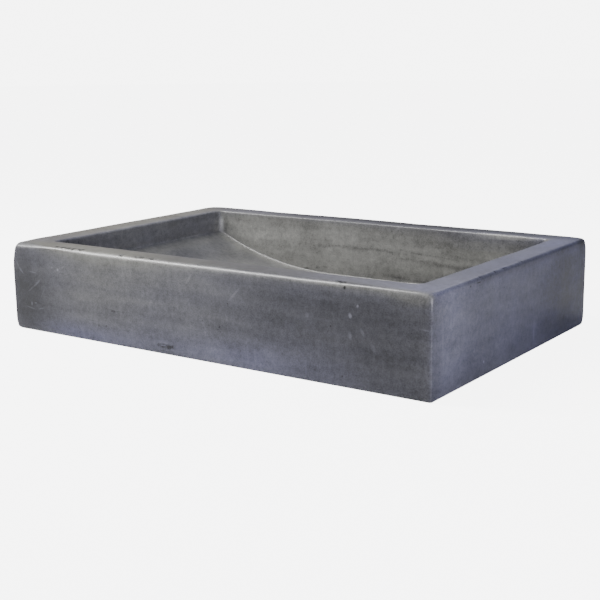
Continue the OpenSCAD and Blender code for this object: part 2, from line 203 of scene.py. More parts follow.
def swell(points, wavelength, seed):
    """Smooth random swelling of about -1 to 1: plane sine waves of one length in random directions."""
    rng = np.random.default_rng(seed)
    directions = rng.normal(size=(SWELL_WAVES, 3))
    directions /= np.linalg.norm(directions, axis=1, keepdims=True)
    phases = rng.uniform(0, TURN, SWELL_WAVES)
    angles = points @ directions.T * (TURN / wavelength) + phases
    return np.sin(angles).sum(-1) / SWELL_SUM


def arc(count, reach=TURN / 4):
    """Angles from 0 over a quarter turn, or as far as asked, without the last."""
    return np.linspace(0, reach, count, endpoint=False)


def quarter_turn(count):
    """Angles over a quarter turn, with the last and without 0."""
    return np.linspace(0, math.pi / 2, count + 1)[1:]


def smooth(t):
    """A soft step from 0 to 1 as t goes from 0 to 1."""
    t = np.clip(t, 0, 1)
    return t * t * (3 - 2 * t)


# The casting

def casting_columns():
    """The directions round the basin, anticlockwise from the front left.
    Each column has a place on a square of side 2, which runs along a side or stands at a corner,
    and the outward direction there, which turns through 90 degrees at a corner."""
    places, outward = [], []
    for k, count in enumerate(SIDE_COLUMNS):
        angle = -math.pi / 2 + k * math.pi / 2
        out = np.array([math.cos(angle), math.sin(angle)])
        along = np.array([-out[1], out[0]])
        share = np.linspace(-1, 1, count, endpoint=False)
        places.append(out + along * share[:, None])
        outward.append(np.tile(out, (count, 1)))
        corner = angle + arc(CORNER_COLUMNS)
        places.append(np.tile(out + along, (CORNER_COLUMNS, 1)))
        outward.append(np.stack([np.cos(corner), np.sin(corner)], -1))
    return np.concatenate(places), np.concatenate(outward)


PLACES, OUTWARD = casting_columns()


def outline(middle, half, radius, inset, z):
    """A row round a rectangle with round corners. A corner's centre lies its radius inside the
    rectangle, and the point lies at the radius less the inset from it, in the outward direction."""
    radius, inset = radius[:, None], inset[:, None]
    xy = middle + PLACES * (half - radius) + OUTWARD * (radius - inset)
    return np.column_stack([xy, z])


def columns(value):
    """The same number for each column."""
    return np.full(len(PLACES), float(value))


def front_left(reach):
    """How near each column is to the front left corner: 1 there and 0 from a share of the side on."""
    near = (1 - PLACES[:, 0]) * (1 - PLACES[:, 1]) / 4
    return smooth((near - 1) / reach + 1)


def bowl_corner_r():
    """The bowl's corner radius at each column, which tightens towards the front left corner."""
    return BOWL_CORNER_R + (BOWL_TIGHT_R - BOWL_CORNER_R) * front_left(0.5)


def outer_edge_r():
    """The rounding of the rim's outer edge at each column: worn wider along the middle of the front
    and at the front left corner."""
    x = PLACES[:, 0] * HALF[0]
    worn = smooth((x - WORN_START) / WORN_START_FADE) * smooth((WORN_END - x) / WORN_END_FADE)
    worn *= PLACES[:, 1] < -0.99
    return RIM_OUTER_R + (RIM_WORN_R - RIM_OUTER_R) * worn + (RIM_CORNER_R - RIM_OUTER_R) * front_left(0.1)


def inner_edge_r():
    """The rounding of the rim's inner edge at each column: sharper along the back."""
    return RIM_INNER_R + (RIM_SHARP_R - RIM_INNER_R) * smooth((PLACES[:, 1] - 0.5) * 2)


def floor_z(x):
    """The floor's height: level in the flat middle, then a circle's arc that leaves it level."""
    run = np.maximum(np.abs(x) - FLOOR_FLAT / 2, 0)
    return FLOOR_T + RAMP_R - np.sqrt(RAMP_R**2 - run**2)


def bowl_outline(inset, z):
    """A row of the bowl's outline, moved in by an inset."""
    return outline(BOWL_MIDDLE, BOWL_HALF, bowl_corner_r(), inset, z)


def upright_r(z):
    """The outer corners' radius at a height for each column: eased at the rim, deepest and furthest
    down at the front left corner, and at the foot."""
    corner = front_left(0.1)
    top_r = UPRIGHT_TOP_R + (UPRIGHT_CORNER_R - UPRIGHT_TOP_R) * corner
    reach = EASE_TOP + (EASE_CORNER - EASE_TOP) * corner
    top = smooth((z - (TOP - reach)) / reach)
    foot = smooth((EASE_FOOT - z) / EASE_FOOT)
    return UPRIGHT_R + (top_r - UPRIGHT_R) * top + (UPRIGHT_FOOT_R - UPRIGHT_R) * foot


def block_outline(inset, z):
    """A row of the block's outline, moved in by an inset."""
    z = columns(1) * z
    return outline(np.zeros(2), HALF, upright_r(z), columns(1) * inset, z)


def eased_corners(points):
    """The move by which hand-easing takes the block's corners in: a bell round each corner, in towards
    the middle, and down at the rim or up at the foot. The rim's front left corner stays high and the
    foot's front right one crisp."""
    x, y = (HALF[k] - np.abs(points[..., k]) for k in (0, 1))
    beside = x**2 + y**2
    top = np.exp(-(beside + (TOP - points[..., 2])**2) / EASED_TOP_REACH**2) * EASED_TOP
    front = points[..., 1] < 0
    right = points[..., 0] > 0
    foot = np.exp(-(beside + points[..., 2]**2) / EASED_FOOT_REACH**2) * EASED_FOOT * ~(front & right)
    inwards = (top + foot)[..., None] * -np.sign(points[..., :2])
    sunk = top * ~(front & ~right)
    return np.concatenate([inwards, (foot - sunk)[..., None]], -1)


def casting_points():
    """Rows of points over the whole casting: up the drain hole, out over the floor, up the bowl's
    wall, out over the rim, down the outside, in under the foot and up the pocket. Each row is a ring,
    which passes from a circle to a rounded rectangle by a straight blend along its column."""
    # The wall's foot: its inset follows the height at which it meets the floor
    inset = columns(0)
    for _ in range(3):
        foot = bowl_outline(inset, columns(0))
        z_foot = floor_z(foot[:, 0])
        inset = (LIP_Z - z_foot) * WALL_LEAN
    foot = bowl_outline(inset, z_foot)
    on_floor = bowl_outline(inset + CREASE_R, columns(0))
    on_floor[:, 2] = floor_z(on_floor[:, 0])
    crease_top = z_foot + CREASE_R
    on_wall = bowl_outline((LIP_Z - crease_top) * WALL_LEAN, crease_top)

    direction = on_floor[:, :2] / np.linalg.norm(on_floor[:, :2], axis=1, keepdims=True)

    def circle(radius, z):
        """A round row, with each point in its column's direction from the axis."""
        return np.column_stack([direction * radius, columns(z)])

    rows = [circle(HOLE_R, POCKET_Z), circle(HOLE_R, RECESS_Z), circle(RECESS_R, RECESS_Z),
            circle(RECESS_R, FLOOR_T - RECESS_ARRIS)]
    rows += [circle(RECESS_R + RECESS_ARRIS * (1 - math.cos(a)), FLOOR_T - RECESS_ARRIS * (1 - math.sin(a)))
             for a in quarter_turn(3)]
    start = rows[-1]
    for share in np.linspace(0, 1, FLOOR_ROWS + 1)[1:]:
        row = start + (on_floor - start) * share
        row[:, 2] = floor_z(row[:, 0])
        rows.append(row)
    for t in (0.2, 0.4, 0.6, 0.8):
        rows.append((1 - t)**2 * on_floor + 2 * t * (1 - t) * foot + t * t * on_wall)
    lip_r = inner_edge_r()
    lip_z = TOP - lip_r
    for share in np.linspace(0, 1, WALL_ROWS):
        z = crease_top + (lip_z - crease_top) * share
        rows.append(bowl_outline((LIP_Z - z) * WALL_LEAN, z))
    lip_inset = (LIP_Z - lip_z) * WALL_LEAN
    for a in quarter_turn(LIP_STEPS):
        rows.append(bowl_outline(lip_inset - lip_r * (1 - math.cos(a)), lip_z + lip_r * math.sin(a)))
    inner = rows[-1]
    edge_r = outer_edge_r()
    edge = block_outline(edge_r, TOP)
    for share in (1 - np.cos(np.linspace(0, math.pi, RIM_ROWS)[1:-1])) / 2:
        rows.append(inner + (edge - inner) * share)
    for a in arc(EDGE_STEPS):
        rows.append(block_outline(edge_r * (1 - math.sin(a)), TOP - edge_r * (1 - math.cos(a))))
    side_top = TOP - edge_r
    for share in np.linspace(0, 1, SIDE_ROWS):
        rows.append(block_outline(0, side_top - (side_top - FOOT_R) * share))
    for a in quarter_turn(FOOT_STEPS):
        rows.append(block_outline(FOOT_R * (1 - math.cos(a)), FOOT_R * (1 - math.sin(a))))
    under = rows[-1]
    mouth = circle(POCKET_R + POCKET_BEVEL, 0)
    for share in (0.33, 0.66, 1):
        rows.append(under + (mouth - under) * share)
    rows += [circle(POCKET_R, POCKET_BEVEL), circle(POCKET_R, POCKET_Z - POCKET_BEVEL / 2),
             circle(POCKET_R - POCKET_BEVEL / 2, POCKET_Z)]
    return np.stack(rows)


def grid_normals(points):
    """Outward directions of a grid closed both ways: the cross product of its two central differences."""
    down = np.roll(points, -1, 0) - np.roll(points, 1, 0)
    round_ = np.roll(points, -1, 1) - np.roll(points, 1, 1)
    normal = np.cross(down, round_)
    return normal / np.maximum(np.linalg.norm(normal, axis=-1, keepdims=True), 1e-12)


# Chips broken out of the edges: middle, half sizes along the three axes and depth, in mm
CHIPS = (
    ((-222.6, -194.6, 110), (3.2, 2.8, 2.4), 1.1),
    ((-211, -194.6, 110), (4.4, 2.8, 2.4), 1.1),
    ((-203, -194.4, 110), (5, 2.8, 2.4), 1.2),
    ((-193.7, -194.4, 110), (4.4, 2.8, 2.4), 1),
    ((-181.8, -194, 110), (4.6, 2.8, 2.4), 1.2),
    ((-114.5, -194.4, 110), (3.6, 3.2, 2.6), 1.6),
    ((-86, -194.2, 110), (8, 2.8, 2.4), 1.2),
    ((-67, -194.6, 110), (5.5, 2.6, 2.4), 1),
    ((192, -194.4, 110), (6.5, 2.6, 2.4), 1),
    ((298, -96, 109), (1.6, 2.6, 1.4), 0.5),
    ((298, -60, 109), (1.4, 2, 1.4), 0.4),
    ((298, -38, 109), (1.6, 6, 1.4), 0.5),
    ((298, 8, 109), (1.4, 4, 1.4), 0.4),
    ((60, 198, 109), (7, 2.4, 2.2), 0.8),
    ((-140, 198, 109), (4, 2.4, 2.2), 0.8),
    ((-298, 30, 109), (2.4, 6, 2.2), 0.8),
)


# How ragged the chips' edges are: the share of their size, the wavelength and the seed
CHIP_RAGGED = (0.35, 5 * MM, 7)
# How steeply a chip's edge falls
CHIP_STEEP = 2.2


def chip_share(points):
    """How deep a point lies in a chip, 0 to 1, and the depth there in metres. A chip is an ellipsoid
    with a ragged edge."""
    ragged = 1 + CHIP_RAGGED[0] * swell(points, *CHIP_RAGGED[1:])
    share = np.zeros(points.shape[:-1])
    depth = np.zeros(points.shape[:-1])
    for middle, reach, deep in CHIPS:
        away = np.linalg.norm((points - np.array(middle) * MM) / (np.array(reach) * MM), axis=-1) * ragged
        here = smooth((1 - away) * CHIP_STEEP)
        share = np.maximum(share, here)
        depth = np.maximum(depth, here * deep * MM)
    return share, depth


# Soft patches of concrete's tone, some of them painted highlights and painted shade: middle and half sizes
# in mm, and the changes in tone and in warmth
PATCHES_AND_PAINTED_LIGHT = (
    ((-90, -200, 96), (150, 30, 26), 0.2, 0.25),
    ((-130, -200, 45), (110, 30, 40), -0.02, 0.15),
    ((-276, -200, 45), (50, 30, 90), -0.8, -0.1),
    ((-180, -200, 4), (90, 30, 16), 0.08, -0.62),
    ((245, -200, 78), (105, 30, 46), -0.54, 0),
    ((255, -200, 15), (90, 30, 32), -0.53, 0),
    ((110, -200, 75), (80, 30, 56), -0.36, -0.08),
    ((60, -200, 10), (150, 30, 20), 0.2, -0.44),
    ((0, -200, 50), (320, 30, 90), -0.01, 0),
    # These three are a painted highlight: paler and warmer along the rounding of the front's top edge, out
    # to the right corner
    ((-80, -199, 107), (165, 5, 4.6), 0.8, 0.15),
    ((200, -199, 107), (110, 5, 4), 0.42, 0.5),
    ((280, -200, 104), (30, 6, 8), 0.15, 0.8),
    # Painted reflection: a thin pale line down the front right upright edge
    ((298.5, -198.5, 70), (1.5, 1.5, 60), 0.3, 0.2),
    # Painted light: the right end face lighter along its front edge
    ((301, -175, 60), (5, 40, 90), 0.5, -0.05),
    ((301, 0, 50), (5, 240, 70), -0.12, -0.35),
    # Painted shade: the right end face darker and cooler towards the back
    ((301, 150, 55), (5, 110, 80), -0.74, -0.55),
    # Painted shade: a dark line along the rounding of the right end's top edge
    ((299.5, 0, 106.5), (4, 200, 3.2), -0.36, 0.3),
    ((285, 0, 110), (40, 220, 14), 0.04, -0.55),
    ((285, 150, 110), (40, 60, 14), 0.08, -0.4),
    ((285, -175, 110), (40, 40, 14), 0.2, -0.1),
    # Painted shade: the back rim darker and cooler, standing in for the dimmer light it reflects
    ((60, 185, 112), (320, 18, 12), -0.96, -0.5),
    # Painted highlight: a thin pale line on the right end of the back rim's inner edge
    ((215, 165.5, 108.5), (46, 2.6, 3), 2.4, 0.6),
    # Painted highlight: a pale upright glint in the bowl's back left corner
    ((-253.5, 162.5, 91), (3, 3, 12), 4, 0.4),
    ((-285, 40, 112), (22, 190, 12), 0.22, 0.6),
    ((-215, -185, 112), (60, 18, 12), 0.28, 0.7),
    ((-120, -185, 112), (80, 18, 12), 0.1, 0.3),
    ((20, -185, 112), (110, 18, 12), -0.32, 0.1),
    ((220, -185, 112), (90, 18, 12), 0.56, -0.15),
    ((-259, 20, 92), (8, 190, 22), 0.42, -0.05),
    # Painted light: the ramp lighter along the foot of the left wall, where the wall's shadow falls
    ((-250, 20, 72), (16, 170, 10), 0.35, 0.3),
    # Painted light: the bowl's back wall lighter, and lighter still towards the left
    ((0, 164, 70), (330, 14, 34), 0.68, 0.38),
    ((-190, 164, 85), (80, 20, 30), 0.5, 0.3),
    ((-170, 110, 60), (90, 60, 30), 0.12, 0.1),
    ((-225, 45, 66), (36, 70, 24), -0.46, 0),
    ((264, 130, 101), (5, 60, 9), -0.2, 1.6),
)
# Duller and glossier stretches of edge: middle and half sizes in mm, and the change in roughness
POLISH = (
    ((-60, 166, 108), (150, 9, 9), 0.3),
    ((60, 187, 110), (320, 16, 12), 0.3),
    ((210, 166, 108), (70, 9, 9), -0.16),
    ((-60, -198, 108), (200, 9, 9), -0.07),
    ((290, -197, 108), (26, 12, 9), 0.2),
    ((-292, -197, 108), (30, 12, 9), 0.26),
)


def soft_patches(points, patches, number):
    """At each point the sum of the patches' changes of one number, each a bell over an ellipsoid."""
    value = np.zeros(points.shape[:-1])
    for middle, reach, *changes in patches:
        away = (points - np.array(middle) * MM) / (np.array(reach) * MM)
        value += changes[number] * np.exp(-(away**2).sum(-1))
    return value


def set_attribute(obj, name, values):
    """A number for each vertex, which the material reads by name."""
    attribute = obj.data.attributes.new(name, "FLOAT", "POINT")
    attribute.data.foreach_set("value", np.asarray(values, np.float32).ravel())


def concrete_casting():
    """The casting's grid, moved in along its normals by slow swelling and by chips, and at the block's
    corners by hand-easing."""
    points = casting_points()
    normals = grid_normals(points)
    share, depth = chip_share(points)
    wave = sum(high * swell(points, length, seed) for high, length, seed in SWELLING)
    move = np.minimum(wave - SWELL_LEVEL, 0) - depth
    from_axis = np.hypot(points[..., 0], points[..., 1])
    under = (points[..., 2] < EXACT_BY_FACE) & (normals[..., 2] < -0.5)
    pocket = (points[..., 2] < POCKET_Z + EXACT_BY_FACE) & (from_axis < POCKET_R + EXACT_BY_POCKET)
    move[under | pocket | (from_axis < RECESS_R + EXACT_BY_RECESS)] = 0
    moved = points + normals * move[..., None] + eased_corners(points)
    moved[..., 2] = np.maximum(moved[..., 2], 0)
    obj = add_grid("concrete_casting", moved, True, CASTING_SHARP)
    set_attribute(obj, "chip", share)
    set_attribute(obj, "tone", soft_patches(points, PATCHES_AND_PAINTED_LIGHT, 0))
    set_attribute(obj, "warmth", soft_patches(points, PATCHES_AND_PAINTED_LIGHT, 1))
    set_attribute(obj, "polish", soft_patches(points, POLISH, 0))
    set_attribute(obj, "bowl", (np.abs(points[..., :2] - BOWL_MIDDLE) < BOWL_HALF + EXACT_BY_FACE).all(-1))
    return obj


# The waste

body_low, body_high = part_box("waste_body")
FLANGE_R = body_high.x
FLANGE_TOP = body_high.z
TAIL_END = body_low.z
FLANGE_T = 2 * MM
TAIL_R = 20.95 * MM
TAIL_BORE_R = 18.2 * MM
TAIL_BEVEL = 1 * MM
NECK_R = TAIL_R + 1 * MM
NECK_Z = FLANGE_TOP - FLANGE_T - 8 * MM
SEAT_FLARE = 2.6 * MM
SEAT_H = 6.5 * MM
SEAT_ARRIS = 0.3 * MM
# The groove that parts the nut's thread from the trap's: its two heights and its depth
GROOVE = (0.3 * MM, 3.1 * MM)
GROOVE_DEEP = 0.8 * MM
# The tail's thread, and the rows of points in a pitch
THREAD_PITCH = 2.309 * MM
THREAD_DEEP = 1.1 * MM
THREAD_STEPS = 8
# The bridge that carries the cartridge, and how far its arms run into its boss and the wall
BRIDGE_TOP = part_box("cartridge_barrel")[0].z + 8 * MM
BRIDGE_H = 8 * MM
BRIDGE_W = 3.5 * MM
BRIDGE_CORNER = 0.8 * MM
BRIDGE_SUNK = 1 * MM
BOSS_R = 9 * MM
BOSS_BEVEL = 0.5 * MM
SPIGOT_R = 5.05 * MM
# Columns round the body, its boss, an arm, the other turned pieces and the nuts
BODY_COLUMNS, BOSS_COLUMNS, ARM_COLUMNS, RING_COLUMNS, NUT_COLUMNS = 112, 64, 24, 160, 288


def around(radius, angle, z):
    """Points at a radius from the waste's axis, an angle round it and a height."""
    return np.stack([radius * np.cos(angle), radius * np.sin(angle), z], -1)


def turned(loop, cols, cut=None):
    """Rings of a turned shape: each point of the loop, a radius and a height, carried round the axis.
    cut gives how much less the radius is at an angle and a height."""
    loop = np.asarray(loop, float)
    angle = arc(cols, TURN)
    z = np.repeat(loop[:, 1:], cols, 1)
    radius = np.repeat(loop[:, :1], cols, 1)
    if cut is not None:
        radius = radius - cut(radius, angle, z)
    return around(radius, angle, z)


def thread_cut(radius, angle, z):
    """The depth of a screw thread: a ridge that climbs one pitch a turn, as a rounded triangle wave,
    on the outside of the tail between its bevel and its neck, but not in the groove."""
    phase = (z / THREAD_PITCH - angle / TURN) % 1
    wave = smooth(np.abs(2 * phase - 1))
    run = smooth((z - TAIL_END - TAIL_BEVEL) / THREAD_PITCH) * smooth((NECK_Z - z) / THREAD_PITCH)
    in_groove = (z > GROOVE[0]) & (z < GROOVE[1])
    return np.where((radius > TAIL_R - 1e-6) & (z < NECK_Z), wave * run * THREAD_DEEP, 0) * ~in_groove


def threaded_body():
    """The waste's body: one turned loop, up the bore and down the outside, with a real thread on the
    tail, and the bridge's two arms and boss, which carry the cartridge."""
    round_r = FLANGE_T / 2
    bend = np.linspace(math.pi / 2, -math.pi / 2, 9)
    loop = [(TAIL_BORE_R, TAIL_END), (TAIL_BORE_R, BRIDGE_TOP), (TAIL_BORE_R, FLANGE_TOP - SEAT_H),
            (TAIL_BORE_R + SEAT_FLARE - SEAT_ARRIS, FLANGE_TOP - SEAT_ARRIS),
            (TAIL_BORE_R + SEAT_FLARE + SEAT_ARRIS, FLANGE_TOP)]
    loop += [(FLANGE_R - round_r + round_r * math.cos(a), FLANGE_TOP - round_r + round_r * math.sin(a))
             for a in bend]
    loop += [(NECK_R, FLANGE_TOP - FLANGE_T), (NECK_R, NECK_Z)]
    steps = int((NECK_Z - TAIL_END - TAIL_BEVEL) / THREAD_PITCH * THREAD_STEPS)
    for z in np.linspace(NECK_Z, TAIL_END + TAIL_BEVEL, steps):
        in_groove = GROOVE[0] < z < GROOVE[1]
        loop.append((TAIL_R - (GROOVE_DEEP if in_groove else 0), z))
    loop.append((TAIL_R - TAIL_BEVEL, TAIL_END))
    rings = turned(loop, BODY_COLUMNS, thread_cut)
    points = [rings.reshape(-1, 3)]
    faces = grid_faces(*rings.shape[:2], True)
    for part, part_faces in (boss_rings(), bridge_arm(-1), bridge_arm(1)):
        first = sum(len(p) for p in points)
        points.append(part)
        faces += [[i + first for i in face] for face in part_faces]
    return add_mesh("threaded_waste_body", np.concatenate(points), faces, TURNED_SHARP)


def boss_rings():
    """The bridge's boss: a bored ring with small bevels."""
    low, high, bevel = BRIDGE_TOP - BRIDGE_H, BRIDGE_TOP, BOSS_BEVEL
    loop = [(SPIGOT_R, high - bevel), (SPIGOT_R + bevel, high), (BOSS_R - bevel, high),
            (BOSS_R, high - bevel), (BOSS_R, low + bevel), (BOSS_R - bevel, low), (SPIGOT_R + bevel, low),
            (SPIGOT_R, low + bevel)]
    rings = turned(loop, BOSS_COLUMNS)
    return rings.reshape(-1, 3), grid_faces(*rings.shape[:2], True)


def bridge_arm(sign):
    """The arm on one side of the axis: a section with round corners, carried from the boss into the
    tail's wall."""
    angle = arc(ARM_COLUMNS, TURN)
    round_ = np.stack([np.cos(angle), np.sin(angle)], -1)
    corner = np.array([BRIDGE_W, BRIDGE_H]) / 2 - BRIDGE_CORNER
    side = np.sign(round_) * corner + round_ * BRIDGE_CORNER
    reach = np.linspace(BOSS_R - BRIDGE_SUNK, TAIL_BORE_R + BRIDGE_SUNK, 4)
    rings = np.empty((len(reach), len(angle), 3))
    rings[..., 0] = side[:, 0] * sign
    rings[..., 1] = reach[:, None] * sign
    rings[..., 2] = BRIDGE_TOP - BRIDGE_H / 2 + side[:, 1]
    size = rings.shape[:2]
    return rings.reshape(-1, 3), grid_faces(*size, False) + end_faces(*size)


# The spring: wire, open turns, gap in its end turns, steps in a turn, columns round the wire, and travel
SPRING_WIRE = 1 * MM
SPRING_OPEN_TURNS = 6
SPRING_END_GAP = 0.45 * MM
SPRING_STEPS = 40
WIRE_COLUMNS = 12


def wound_spring():
    """The return spring: a round wire along a helix, which climbs slowly over its nearly closed first
    and last turns and evenly over the open ones between."""
    low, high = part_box("return_spring")
    wire_r = SPRING_WIRE / 2
    radius = high.x - wire_r
    height = high.z - low.z - SPRING_WIRE
    end_pitch = SPRING_WIRE + SPRING_END_GAP
    turns = SPRING_OPEN_TURNS + 2
    t = np.linspace(0, turns, turns * SPRING_STEPS + 1)
    z = low.z + wire_r + np.interp(t, [0, 1, turns - 1, turns], [0, end_pitch, height - end_pitch, height])
    side = arc(WIRE_COLUMNS, TURN)
    reach = radius + wire_r * np.cos(side)
    rings = around(reach, (TURN * t)[:, None], z[:, None] + wire_r * np.sin(side))
    return add_grid("wound_spring", rings, False, SPRING_SHARP)


ROUNDING_STEPS = 4


def rounded(loop, radius):
    """A closed loop of corners, each rounded by a quadratic curve that leaves its two sides at the
    radius from it, or just short of the middle of a short side."""
    loop = np.asarray(loop, float)
    made = []
    for before, corner, after in zip(np.roll(loop, 1, 0), loop, np.roll(loop, -1, 0)):
        to_before, to_after = before - corner, after - corner
        near = [min(radius, 0.45 * np.linalg.norm(side)) for side in (to_before, to_after)]
        start = corner + to_before / np.linalg.norm(to_before) * near[0]
        end = corner + to_after / np.linalg.norm(to_after) * near[1]
        for t in np.linspace(0, 1, ROUNDING_STEPS + 1):
            made.append((1 - t)**2 * start + 2 * t * (1 - t) * corner + t * t * end)
    return made


def turned_piece(name, loop, bored=True):
    """A closed turned solid. The loop runs up the inside and down the outside, in mm. Without a bore it
    starts and ends at the axis, where a small round face closes each end."""
    return add_grid(name, turned(np.asarray(loop) * MM, RING_COLUMNS), bored, TURNED_SHARP)


def heights(node):
    """The lower and upper height of a CAD node and its reach along Y, in mm."""
    low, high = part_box(node)
    return low.z / MM, high.z / MM, high.y / MM


# The cap, in mm: the small round left at the axis, the stem's hole, the hub, the edge's rounding, the
# dome's height and the plate left over the hole
AXIS_R = 0.1
STEM_HOLE_R = 4.05
HUB_R = 16
CAP_EDGE_R = 0.9
CAP_DOME = 2.4
CAP_OVER_HOLE = 2.25


def domed_cap():
    """The cap: a shallow dome, an edge rounded by half a turn, and a hub with a blind hole for the stem."""
    low, top, reach = heights("plug_cap")
    edge_middle = reach - CAP_EDGE_R
    dome_r = (edge_middle**2 + CAP_DOME**2) / (2 * CAP_DOME)
    cap_z = top - CAP_DOME - 2 * CAP_EDGE_R
    hole_top = top - CAP_OVER_HOLE
    dome = [(r, top - dome_r + math.sqrt(dome_r**2 - r**2))
            for r in np.linspace(AXIS_R, edge_middle, 30)[:-1]]
    edge = [(edge_middle + CAP_EDGE_R * math.sin(a), cap_z + CAP_EDGE_R + CAP_EDGE_R * math.cos(a))
            for a in np.linspace(0.12, math.pi, 14)]
    hub = [(HUB_R + 0.6, cap_z), (HUB_R + 0.2, cap_z - 0.2), (HUB_R, cap_z - 0.6), (HUB_R, low + 0.3),
           (HUB_R - 0.3, low), (STEM_HOLE_R + 0.3, low), (STEM_HOLE_R, low + 0.3), (STEM_HOLE_R, hole_top),
           (AXIS_R, hole_top)]
    return turned_piece("domed_cap", dome + edge + hub, bored=False)


# The plug's seal at its foot, the bore over the tail, the gasket's collar and its nose's two radii, and
# how far a nut's chamfer runs into its flats and is blunted at its corners, in mm
SEAL_FOOT_R = 18.88
TAIL_FIT_R = 21
GASKET_T = 4
GASKET_NOSE = (22.9, 21.95)
NUT_CHAMFER = 0.4
NUT_BLUNT = 0.2


def coned_seal():
    """The plug's seal: a cone with soft edges, which lies along the seat when the plug is down."""
    low, top, reach = heights("plug_seal")
    return turned_piece("coned_seal", rounded(
        [(STEM_HOLE_R, low), (STEM_HOLE_R, top), (reach, top), (SEAL_FOOT_R, low)], 0.45))


def flat_ring(name, node, inner, edge):
    """A flat ring with softened edges, as high and wide as its CAD node."""
    low, top, reach = heights(node)
    return turned_piece(name, rounded([(inner, low), (inner, top), (reach, top), (reach, low)], edge))


def nosed_gasket():
    """The lower gasket: a collar with a tapered nose that enters the casting's hole."""
    low, top, reach = heights("lower_gasket")
    collar = low + GASKET_T
    return turned_piece("nosed_gasket", rounded(
        [(TAIL_FIT_R, low), (TAIL_FIT_R, top), (GASKET_NOSE[1], top), (GASKET_NOSE[0], collar),
         (reach, collar), (reach, low)], 0.5))


def six_sided_nut(name, node, bore):
    """A nut. At each angle the side reaches the hexagon or its slightly blunted corner, and both ends
    slope back from there at 30 degrees to a circle just inside the flats."""
    low, top, flat = heights(node)
    angle = arc(NUT_COLUMNS, TURN)
    side = flat / np.cos(angle % (math.pi / 3) - math.pi / 6)
    side = np.minimum(side, flat / math.cos(math.pi / 6) - NUT_BLUNT)
    start = flat - NUT_CHAMFER
    slope = (side - start) * np.linspace(0, 1, 6)[:, None]
    drop = slope * math.tan(math.pi / 6)
    inner = np.array([(bore + NUT_CHAMFER, low), (bore, low + NUT_CHAMFER),
                      (bore, top - NUT_CHAMFER), (bore + NUT_CHAMFER, top)])
    bore_r, bore_z = np.repeat(inner.T[..., None], len(angle), -1)
    radius = np.concatenate([bore_r, start + slope, (start + slope)[::-1]])
    z = np.concatenate([bore_z, top - drop, (low + drop)[::-1]])
    return add_grid(name, around(radius, angle, z) * MM, True, NUT_SHARP)


# Materials

def put(tree, kind, inputs=None, **settings):
    """One shader node with its settings and its inputs, each a plain value or another node's output."""
    node = tree.nodes.new("ShaderNode" + kind)
    for key, value in settings.items():
        setattr(node, key, value)
    for key, value in (inputs or {}).items():
        socket = node.inputs[key]
        if isinstance(value, bpy.types.NodeSocket):
            tree.links.new(value, socket)
        else:
            socket.default_value = value
    return node


def new_material(name, **sockets):
    """A material with a Principled shader, whose constant values are set on its own sockets."""
    material = bpy.data.materials.new(name)
    material.use_nodes = True
    tree = material.node_tree
    shader = tree.nodes["Principled BSDF"]
    for key, value in sockets.items():
        shader.inputs[key.replace("_", " ")].default_value = value
    place = put(tree, "TexCoord").outputs["Object"]
    return material, shader, place


def maths(operation, a, b=0, clamp=False):
    """One sum, product or the like of two values, held to 0 to 1 if asked."""
    return put(a.id_data, "Math", {0: a, 1: b}, operation=operation, use_clamp=clamp).outputs[0]


def noise(place, scale, detail=3, rough=0.55, stretch=None):
    """Fractal noise centred on 0, of about -0.5 to 0.5, stretched along the axes if asked."""
    tree = place.id_data
    if stretch is not None:
        place = put(tree, "Mapping", {"Vector": place, "Scale": stretch}).outputs[0]
    settings = {"Vector": place, "Scale": scale, "Detail": detail, "Roughness": rough}
    return maths("SUBTRACT", put(tree, "TexNoise", settings).outputs[0], 0.5)


def attribute(tree, name):
    """A number that the piece's vertices carry."""
    return put(tree, "Attribute", attribute_name=name).outputs["Fac"]


def total(*terms):
    """The sum of pairs of an output and a weight."""
    value = None
    for output, weight in terms:
        part = maths("MULTIPLY", output, weight)
        value = part if value is None else maths("ADD", value, part)
    return value


def blend(share, first, second):
    """The first colour at a share of 0 and the second at 1."""
    return put(share.id_data, "Mix", {"Factor": share, 6: first, 7: second}, data_type="RGBA").outputs[2]


def step(value, zero, one):
    """A soft step of a value, from 0 at one limit to 1 at the other."""
    return put(value.id_data, "MapRange", {"Value": value, 1: zero, 2: one},
               interpolation_type="SMOOTHSTEP").outputs[0]


def wire_up(shader, colour, rough, least_rough, height, strength, distance):
    """Links a shader's colour, its roughness over a least one, and a bump of a strength and a depth."""
    tree = shader.id_data
    tree.links.new(colour, shader.inputs["Base Color"])
    tree.links.new(maths("ADD", rough, least_rough, clamp=True), shader.inputs["Roughness"])
    bump = put(tree, "Bump", {"Height": height, "Strength": strength, "Distance": distance})
    tree.links.new(bump.outputs[0], shader.inputs["Normal"])
    return bump.outputs[0]


def darker(colour, share):
    """A colour at a share of its brightness."""
    return tuple(c * share for c in colour[:3]) + (1,)


